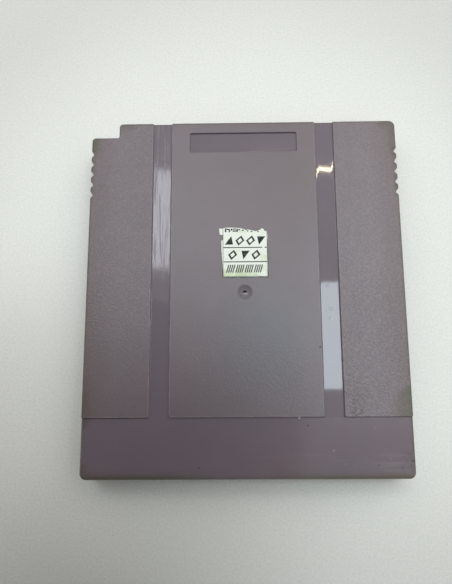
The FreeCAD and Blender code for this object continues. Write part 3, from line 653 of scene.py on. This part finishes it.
def makeGold():
    finish = contactFinish
    material, tree, shader = newMaterial("contactGold")
    place = millimetres(tree)
    wiped = useGroup(tree, hairScratches, place, Width=0.08, Length=2.5, Amount=0.45)
    tarnish = product(tree, cloudMask(tree, place, size=1.4), finish["tarnish"])
    wire(tree, shader, Base_Color=mixColour(tree, tarnish, finish["gold"], finish["tarnished"]),
         Metallic=1.0, Roughness=rising(tree, wiped, finish["rough"], finish["wipedRough"]),
         Normal=bump(tree, wiped, finish["wipedDepth"]))
    return material


leadFinish = {"tin": (0.62, 0.62, 0.60), "rough": 0.36}


def makeTin():
    material, tree, shader = newMaterial("leadTin")
    tone = cloudTone(tree, millimetres(tree), size=0.5, contrast=0.25)
    wire(tree, shader, Base_Color=toned(tree, leadFinish["tin"], tone), Metallic=1.0,
         Roughness=product(tree, tone, leadFinish["rough"]))
    return material


bodyFinishes = {   # chips, capacitors and resistors; size is that of the cloud that mixes the two colours
    "chipResin": {"colour": (0.020, 0.020, 0.022), "second": (0.030, 0.030, 0.031),
                  "size": 0.5, "contrast": 0.2, "rough": 0.55, "depth": 0.008, "coat": 0.0},
    "capacitorCeramic": {"colour": (0.42, 0.30, 0.19), "second": (0.34, 0.23, 0.14),
                         "size": 0.3, "contrast": 0.15, "rough": 0.45, "depth": 0.004, "coat": 0.0},
    "resistorGlaze": {"colour": (0.028, 0.028, 0.033), "second": (0.040, 0.040, 0.046),
                      "size": 0.6, "contrast": 0.1, "rough": 0.3, "depth": 0.002, "coat": 0.6},
}
bodyGrain, bodyTone = 0.4, 2          # sizes of grain and tone beside that of the cloud


def makeGrained(name):
    finish = bodyFinishes[name]
    size = finish["size"]
    material, tree, shader = newMaterial(name)
    place = millimetres(tree)
    tone = cloudTone(tree, place, size=size * bodyTone, contrast=finish["contrast"])
    grain = useGroup(tree, mouldGrain, place, Size=size * bodyGrain)
    colour = mixColour(tree, cloudMask(tree, place, size), finish["colour"], finish["second"])
    wire(tree, shader, Base_Color=colour, Roughness=product(tree, tone, finish["rough"]),
         Normal=bump(tree, grain, finish["depth"]), Coat_Weight=finish["coat"])
    return material


frontPlastic = makeFrontPlastic()
slotMaterials = {
    "shell_plastic": makeRearPlastic(), "board_laminate": makeLaminate(),
    "contact_gold": makeGold(), "lead_tin": makeTin(), "chip_resin": makeGrained("chipResin"),
    "capacitor_ceramic": makeGrained("capacitorCeramic"), "resistor_glaze": makeGrained("resistorGlaze"),
}


def dressNodes():
    slots = {part["node"]: part["material_slot"] for part in frame["record"]["subparts"]}
    for name, node in nodes.items():
        material = frontPlastic if name == "front_shell" else slotMaterials.get(slots[name])
        if material:
            node.data.materials.clear()
            node.data.materials.append(material)


dressNodes()
print("finishes on", len(nodes), "nodes")


sticker = {
    "paper": (0.88, 0.91, 0.83), "yellowed": (0.62, 0.71, 0.48), "rubbedAndHighlit": (0.42, 0.45, 0.38),
    "ink": (0.018, 0.022, 0.019), "wornInk": (0.26, 0.30, 0.26), "grime": (0.036, 0.038, 0.022),
    "glue": 0.004, "layer": 0.036, "inkHeight": 0.006,      # thickness of the glue, one paper layer, the ink
    "topLayer": (-3.88, 4.12, 2.52, 10.38),                 # left, right, bottom, top
    "flap": (9.6, 0.12),                                    # from this row up its right side reaches out
    "underInset": (0.04, 0.06), "tab": (2.0, 0.3, -0.07),   # older layer: right, bottom; place and size of a tab
    "glueMargin": (0.16, 0.17), "glueTop": 10.3,
    "fray": 0.03, "fraySeed": 5, "frayFrom": -5.0, "frayStep": 0.4, "fraySteps": 46,
    "tearReach": 0.9,                                       # rows this near to the top follow the tear
    "glueCells": (44, 44), "underCells": (84, 92), "topCells": (40, 40),
    "rules": [(7.93, -3.83, 3.20), (7.93, 3.625, 4.075), (5.26, -3.83, 4.07)], "ruleWidth": 0.17,
    "slant": 0.28, "inkCorner": 0.02,
}
# outline of the older layer underneath: its torn top from left to right, its left side from top to bottom
tornTop = [(-4.60, 11.58), (-4.09, 11.50), (-3.69, 11.66), (-3.2, 11.70), (-2.3, 11.72), (-1.49, 11.66),
           (-0.68, 11.60), (-0.28, 11.48), (0.13, 11.34), (0.29, 11.10), (0.62, 11.36), (0.94, 11.26),
           (1.67, 11.10), (2.16, 10.98), (2.73, 11.18), (3.21, 11.56), (3.52, 11.36), (3.70, 10.97),
           (4.14, 11.0)]
tornLeft = [(11.72, -4.60), (10.40, -4.48), (10.34, -3.80), (9.40, -3.80), (9.32, -4.18), (6.92, -4.16),
            (6.84, -3.95), (6.70, -4.12), (3.94, -3.90), (2.46, -3.74)]
glueLevel = stickerLow.z
underLevel = glueLevel + sticker["glue"]
topLevel = underLevel + sticker["layer"]
inkLevel = topLevel + sticker["layer"]


def along(profile, at):
    ordered = sorted(profile)
    if at <= ordered[0][0]:
        return ordered[0][1]
    for (a, valueA), (b, valueB) in zip(ordered, ordered[1:]):
        if at <= b:
            return valueA + (valueB - valueA) * (at - a) / (b - a)
    return ordered[-1][1]


paperLook = {
    "fibreStretch": (1.0, 2.2, 1.0), "fibreTurn": 20.0, "fibreScale": 3.2, "fibreDepth": 0.012, "rough": 0.62,
    "dampScale": 0.42, "dampEdge": (0.52, 0.7), "dampStrength": 0.5,
    "lowRows": (5.6, 3.0), "lowEdge": (0.36, 0.62),
    "rubbedAndHighlitEdge": (0.56, 0.78), "rubbedStrength": 0.25,
    "leftRim": (0.08, 0.07), "rim": 0.2, "rimStrength": 0.5,    # half width and blur at the left, else width
}


def makePaper():
    look = paperLook
    material, tree, shader = newMaterial("stickerPaper")
    place = millimetres(tree)
    x, y = axesOf(tree, place)[:2]
    drawn = stretched(tree, place, look["fibreStretch"], look["fibreTurn"])
    fibre = noise(tree, drawn, look["fibreScale"], detail=5.0, roughness=0.65)
    damp = noise(tree, place, look["dampScale"], detail=4.0, roughness=0.6)
    lowStain = product(tree, fade(tree, y, *look["lowRows"]), fade(tree, damp, *look["lowEdge"]))
    anyStain = product(tree, fade(tree, damp, *look["dampEdge"]), look["dampStrength"])
    colour = mixColour(tree, largest(tree, lowStain, anyStain), sticker["paper"], sticker["yellowed"])
    rubbedAndHighlit = product(tree, fade(tree, fibre, *look["rubbedAndHighlitEdge"]), look["rubbedStrength"])
    colour = mixColour(tree, rubbedAndHighlit, colour, sticker["rubbedAndHighlit"])
    left, right, bottom = sticker["topLayer"][:3]
    half, blur = look["leftRim"]
    rim = largest(tree, between(tree, x, left - half, left + half, blur),
                  fade(tree, x, right - look["rim"], right), fade(tree, y, bottom + look["rim"], bottom))
    colour = mixColour(tree, product(tree, rim, look["rimStrength"]), colour, sticker["grime"])
    wire(tree, shader, Base_Color=colour, Roughness=look["rough"], Normal=bump(tree, fibre, look["fibreDepth"]))
    return material


inkLook = {"wornScale": 2.6, "wornEdge": (0.52, 0.74), "wornStrength": 0.6, "rough": 0.5, "specular": 0.2}


def makeInk():
    look = inkLook
    material, tree, shader = newMaterial("stickerInk")
    worn = noise(tree, millimetres(tree), look["wornScale"], detail=4.0, roughness=0.7)
    worn = product(tree, fade(tree, worn, *look["wornEdge"]), look["wornStrength"])
    wire(tree, shader, Base_Color=mixColour(tree, worn, sticker["ink"], sticker["wornInk"]),
         Roughness=look["rough"], Specular_IOR_Level=look["specular"])
    return material


def makeGlueGrime():
    material, tree, shader = newMaterial("stickerGlue")
    patchy = cloudMask(tree, millimetres(tree), size=0.8)
    wire(tree, shader, Base_Color=mixColour(tree, patchy, sticker["grime"], shellFinish["smooth"]),
         Roughness=0.5)
    return material


paper = makePaper()
ink = makeInk()
glueGrime = makeGlueGrime()


# a flat grid whose rows and columns are drawn to four border lines, given a thickness upwards
def paperSheet(name, material, level, thick, cells, left, right, bottom, top):
    deselectAll()
    columns, rows = cells
    bpy.ops.mesh.primitive_grid_add(x_subdivisions=columns, y_subdivisions=rows, size=1.0, location=(0, 0, 0))
    sheet = bpy.context.active_object
    sheet.name = sheet.data.name = name
    low, high = bottom(0.0), top(0.0)
    knee = high - sticker["tearReach"]          # rows above it follow the top, rows below it the bottom
    share = (knee - low) / (high - low)
    for vertex in sheet.data.vertices:
        u, v = vertex.co.x + 0.5, vertex.co.y + 0.5
        py = low + (high - low) * v
        px = left(py) + (right(py) - left(py)) * u
        if v < share:
            py = bottom(px) + (knee - bottom(px)) * v / share
        else:
            py = knee + (top(px) - knee) * (v - share) / (1.0 - share)
        vertex.co = (px * mm, py * mm, level * mm)
    applyModifier(sheet, "SOLIDIFY", thickness=thick * mm, offset=1.0)
    sheet.data.materials.append(material)
    return sheet


def makeSticker():
    left, right, bottom, top = sticker["topLayer"]
    fray, firstStep, step = sticker["fray"], sticker["frayFrom"], sticker["frayStep"]
    rng = random.Random(sticker["fraySeed"])
    frayed = [(count * step + firstStep, rng.uniform(-fray, fray)) for count in range(sticker["fraySteps"])]
    sideMargin, lowMargin = sticker["glueMargin"]
    glue = paperSheet("sticker_glue", glueGrime, glueLevel, sticker["glue"], sticker["glueCells"],
                      lambda y: left - sideMargin + along(frayed, y),
                      lambda y: right + sideMargin + along(frayed, y - 3),
                      lambda x: bottom - lowMargin + along(frayed, x),
                      lambda x: sticker["glueTop"])
    rightInset, lowInset = sticker["underInset"]
    tabMiddle, tabHalf, tabEnd = sticker["tab"]
    under = paperSheet("sticker_under", paper, underLevel, sticker["layer"], sticker["underCells"],
                       lambda y: along(tornLeft, y),
                       lambda y: right - rightInset + along(frayed, y) * 0.5,
                       lambda x: bottom + (lowInset if abs(x - tabMiddle) > tabHalf else tabEnd),
                       lambda x: along(tornTop, x))
    flapFrom, flapReach = sticker["flap"]
    upper = paperSheet("sticker_paper", paper, topLevel, sticker["layer"], sticker["topCells"],
                       lambda y: left + along(frayed, y) * 0.6,
                       lambda y: right + along(frayed, y - 2) * 0.6 + (flapReach if y > flapFrom else 0.0),
                       lambda x: bottom + along(frayed, x) * 0.8,
                       lambda x: top + along(frayed, x - 4) * 0.4)
    return glue, under, upper


printRows = [   # middle x, middle y and kind of each mark
    (-2.6, 9.24, "wedge"), (-0.82, 9.24, "diamond"), (1.12, 9.24, "diamond"), (2.85, 9.24, "turnedWedge"),
    (-2.15, 6.57, "diamond"), (0.0, 6.57, "turnedWedge"), (2.05, 6.57, "diamond"),
    (-2.5, 4.0, "hatch"), (-0.85, 4.0, "hatch"), (0.8, 4.0, "hatch"), (2.45, 4.0, "hatch"),
]
tornPrint = [   # strokes left on the torn strip: middle x, y, width, height
    (-3.4, 11.22, 0.27, 0.74), (-3.02, 11.38, 0.4, 0.24), (-2.72, 11.14, 0.26, 0.62), (-2.32, 11.34, 0.28, 0.4),
    (-1.8, 11.44, 0.6, 0.22), (-1.8, 11.06, 0.66, 0.24), (-1.3, 11.2, 0.26, 0.6), (-0.94, 11.3, 0.3, 0.24),
    (-0.25, 11.2, 0.36, 0.2), (0.62, 11.06, 0.24, 0.24), (1.3, 10.94, 0.36, 0.17), (2.5, 10.9, 0.24, 0.2),
]
diamond = {"width": 1.65, "height": 1.9, "stroke": 0.29}
wedge = {"width": 1.5, "height": 1.6, "radius": 0.577, "shift": 0.14, "stretch": 1.15}
hatch = {"width": 1.3, "height": 1.45, "strokes": 4, "stroke": 0.2}


# the flat shape just added, at its size and place
def flatMark(x, y, level, width, height):
    mark = bpy.context.active_object
    mark.location = (x * mm, y * mm, level * mm)
    mark.scale = (width * mm, height * mm, 1.0)
    placeInMesh(mark)
    return mark


def inkBar(x, y, width, height, level=inkLevel):
    deselectAll()
    bpy.ops.mesh.primitive_plane_add(size=1.0)
    return flatMark(x, y, level, width, height)


# marks of the print, each modelled once at the origin
def diamondMark():
    deselectAll()
    bpy.ops.mesh.primitive_circle_add(vertices=4, radius=0.5, fill_type="NGON")
    mark = flatMark(0, 0, 0, diamond["width"], diamond["height"])
    bpy.ops.object.mode_set(mode="EDIT")
    bpy.ops.mesh.select_all(action="SELECT")
    bpy.ops.mesh.inset(thickness=diamond["stroke"] * mm)
    bpy.ops.mesh.delete(type="FACE")                 # only the frame stays
    bpy.ops.object.mode_set(mode="OBJECT")
    return mark


# its shift brings the middle of its height to the origin
def wedgeMark(turned):
    deselectAll()
    bpy.ops.mesh.primitive_circle_add(vertices=3, radius=wedge["radius"], fill_type="NGON",
                                      rotation=(0, 0, math.pi if turned else 0.0))
    placeInMesh(bpy.context.active_object)
    shift = wedge["shift"] * wedge["height"]
    return flatMark(0, shift if turned else -shift, 0, wedge["width"], wedge["height"] * wedge["stretch"])


def hatchMark():
    last, stroke = hatch["strokes"] - 1, hatch["stroke"]
    pitch = (hatch["width"] - stroke) / last
    bars = [inkBar(pitch * (column - last / 2), 0, stroke, hatch["height"], 0) for column in range(last + 1)]
    return joinPieces(bars, "hatch")


def slanted(mark):
    mark.data.transform(Matrix(((1, sticker["slant"], 0, 0), (0, 1, 0, 0), (0, 0, 1, 0), (0, 0, 0, 1))))
    return mark


def stamped(mark, x, y):
    activate(mark)
    bpy.ops.object.duplicate()
    copy = bpy.context.active_object
    copy.location = (x * mm, y * mm, inkLevel * mm)
    placeInMesh(copy)
    return copy


# rounds the upright edges of the print
def roundCorners(piece, radius):
    activate(piece)
    bpy.ops.object.mode_set(mode="EDIT")
    bpy.ops.mesh.select_mode(type="EDGE")
    bpy.ops.mesh.select_all(action="DESELECT")
    bpy.ops.object.mode_set(mode="OBJECT")
    points = piece.data.vertices
    upright = 0.0001 * mm
    for edge in piece.data.edges:
        a, b = edge.vertices
        edge.select = (points[a].co - points[b].co).xy.length < upright
    bpy.ops.object.mode_set(mode="EDIT")
    bpy.ops.mesh.bevel(offset=radius * mm, segments=2)
    bpy.ops.object.mode_set(mode="OBJECT")


def makePrint():
    marks = {"diamond": slanted(diamondMark()), "wedge": slanted(wedgeMark(False)),
             "turnedWedge": slanted(wedgeMark(True)), "hatch": slanted(hatchMark())}
    parts = [stamped(marks[kind], x, y) for x, y, kind in printRows]
    for mark in marks.values():
        activate(mark)
        bpy.ops.object.delete()
    parts += [inkBar((start + stop) / 2, y, stop - start, sticker["ruleWidth"])
              for y, start, stop in sticker["rules"]]
    parts += [inkBar(x, y, width, height, topLevel) for x, y, width, height in tornPrint]
    printed = joinPieces(parts, "sticker_print")
    applyModifier(printed, "SOLIDIFY", thickness=sticker["inkHeight"] * mm, offset=1.0)
    roundCorners(printed, sticker["inkCorner"])
    printed.data.materials.append(ink)
    return printed


glue, underLayer, upperLayer = makeSticker()
printed = makePrint()
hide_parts("paper_sticker")
for piece in (glue, underLayer, upperLayer, printed):
    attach(piece, "root")
print("sticker:", len(printed.data.polygons), "faces of print")


room = {
    "floor": (0.81, 0.815, 0.775), "floorSize": 3000.0, "floorRough": 0.7,
    "floorDrop": 0.02,                               # just below the cartridge
    "paintedShadeRange": (37.0, 77.0), "paintedShadeDarkest": 0.76,      # painted shade: the table is darker away from the middle
    "skylight": (1.0, 1.0, 0.98), "ambient": 0.33, "overhead": 1.5, "overheadFocus": 4.7,
    "background": (0.62, 0.64, 0.63),
}
lamps = {   # place, size, turn in degrees, radiance, colour
    "leftCeilingPanel": ((-220, 346, 1000), (400, 190), 0.0, 6.9, (0.90, 0.96, 1.0)),
    "rightCeilingPanel": ((250, 125, 1000), (440, 192), 0.0, 8.7, (0.79, 0.93, 1.0)),
    "warmTube": ((168, 439, 1000), (280, 6), -10.0, 50.0, (1.0, 0.86, 0.55)),
    "softLeft": ((-450, 300, 700), (300, 300), 0.0, 0.8, (1.0, 0.98, 0.95)),
    "softRight": ((480, 420, 600), (400, 400), 0.0, 0.9, (1.0, 0.98, 0.95)),
}
cloth = {   # dark and unseen by the camera, it keeps light off the lower left
    "corners": ((-105, -109, 49), (8, -99, 44), (-33, 18, 96), (25, 1, 136)),   # near and far, left then right
    "colour": (0.03, 0.03, 0.03), "rough": 0.9,
}
cameraPlace = {"eye": (-1.605, -22.574, 116.16), "forward": (-0.01611, 0.20173, -0.97931),
               "right": (0.99983, -0.00532, -0.01754), "focalPixels": 620.0, "imageHeight": 584,
               "sensor": 36.0, "clip": (0.001, 20.0)}


def makeFloor():
    deselectAll()
    bpy.ops.mesh.primitive_plane_add(size=room["floorSize"] * mm, location=(0, 0, -room["floorDrop"] * mm))
    floor = bpy.context.active_object
    floor.name = "floor"
    placeInMesh(floor)
    material, tree, shader = newMaterial("paleTable")
    place = millimetres(tree)
    away = put(tree, "VectorMath", {0: place}, out="Value", operation="LENGTH")
    # painted shade: the table darkens away from the middle
    paintedShade = mixValue(tree, fade(tree, away, *room["paintedShadeRange"]), 1.0, room["paintedShadeDarkest"])
    tone = product(tree, cloudTone(tree, place, size=40.0, contrast=0.02),
                   cloudTone(tree, place, size=0.4, contrast=0.17), paintedShade)
    wire(tree, shader, Base_Color=toned(tree, room["floor"], tone), Roughness=room["floorRough"])
    floor.data.materials.append(material)


# panels and tube face straight down, the soft lamps face the cartridge
def makeLamps():
    for name, (spot, (wide, long), turn, radiance, colour) in lamps.items():
        light = bpy.data.lights.new(name, "AREA")
        light.shape = "RECTANGLE"
        light.size, light.size_y = wide * mm, long * mm
        light.energy = radiance * math.pi * wide * long * mm * mm
        light.color = colour
        lamp = bpy.data.objects.new(name, light)
        scene.collection.objects.link(lamp)
        lamp.location = Vector(spot) * mm
        lamp.rotation_euler = (0, 0, math.radians(turn))
        if name.startswith("soft"):
            lamp.rotation_euler = Vector(spot).to_track_quat("Z", "Y").to_euler()


def makeShade():
    deselectAll()
    bpy.ops.mesh.primitive_plane_add(size=1.0, location=(0, 0, 0))
    flag = bpy.context.active_object
    flag.name = "shadeFlag"
    for vertex, corner in zip(flag.data.vertices, cloth["corners"]):
        vertex.co = Vector(corner) * mm
    material, tree, shader = newMaterial("shadeCloth")
    wire(tree, shader, Base_Color=rgba(cloth["colour"]), Roughness=cloth["rough"])
    flag.data.materials.append(material)
    flag.visible_camera = False


def makeWorld():
    world = bpy.data.worlds.new("paleRoom")
    scene.world = world
    world.use_nodes = True
    tree = world.node_tree
    tree.nodes.clear()
    path = tree.nodes.new("ShaderNodeLightPath").outputs
    seen = largest(tree, path["Is Camera Ray"], path["Is Glossy Ray"], path["Is Transmission Ray"])
    upward = sums(tree, "MAXIMUM", axesOf(tree, put(tree, "TexCoord", out="Generated"))["Z"], 0.0)
    overhead = product(tree, sums(tree, "POWER", upward, room["overheadFocus"]), room["overhead"])
    level = sums(tree, "ADD", overhead, room["ambient"])
    lit = put(tree, "Background", {"Color": rgba(room["skylight"]), "Strength": level})
    shown = put(tree, "Background", {"Color": rgba(room["background"]), "Strength": 1.0})
    surface = put(tree, "MixShader", {0: seen, 1: lit, 2: shown})
    tree.links.new(surface, tree.nodes.new("ShaderNodeOutputWorld").inputs["Surface"])


def makeCamera():
    lens = bpy.data.cameras.new("camera")
    lens.sensor_width = cameraPlace["sensor"]
    lens.lens = lens.sensor_width * cameraPlace["focalPixels"] / cameraPlace["imageHeight"]
    lens.clip_start, lens.clip_end = cameraPlace["clip"]
    camera = bpy.data.objects.new("camera", lens)
    scene.collection.objects.link(camera)
    forward = Vector(cameraPlace["forward"]).normalized()
    right = Vector(cameraPlace["right"])
    right = (right - forward * right.dot(forward)).normalized()
    up = right.cross(forward)
    turn = Matrix((right, up, -forward)).transposed()
    camera.matrix_world = Matrix.Translation(Vector(cameraPlace["eye"]) * mm) @ turn.to_4x4()
    scene.camera = camera


makeFloor()
makeLamps()
makeShade()
makeWorld()
makeCamera()
print("room, lamps and camera set")
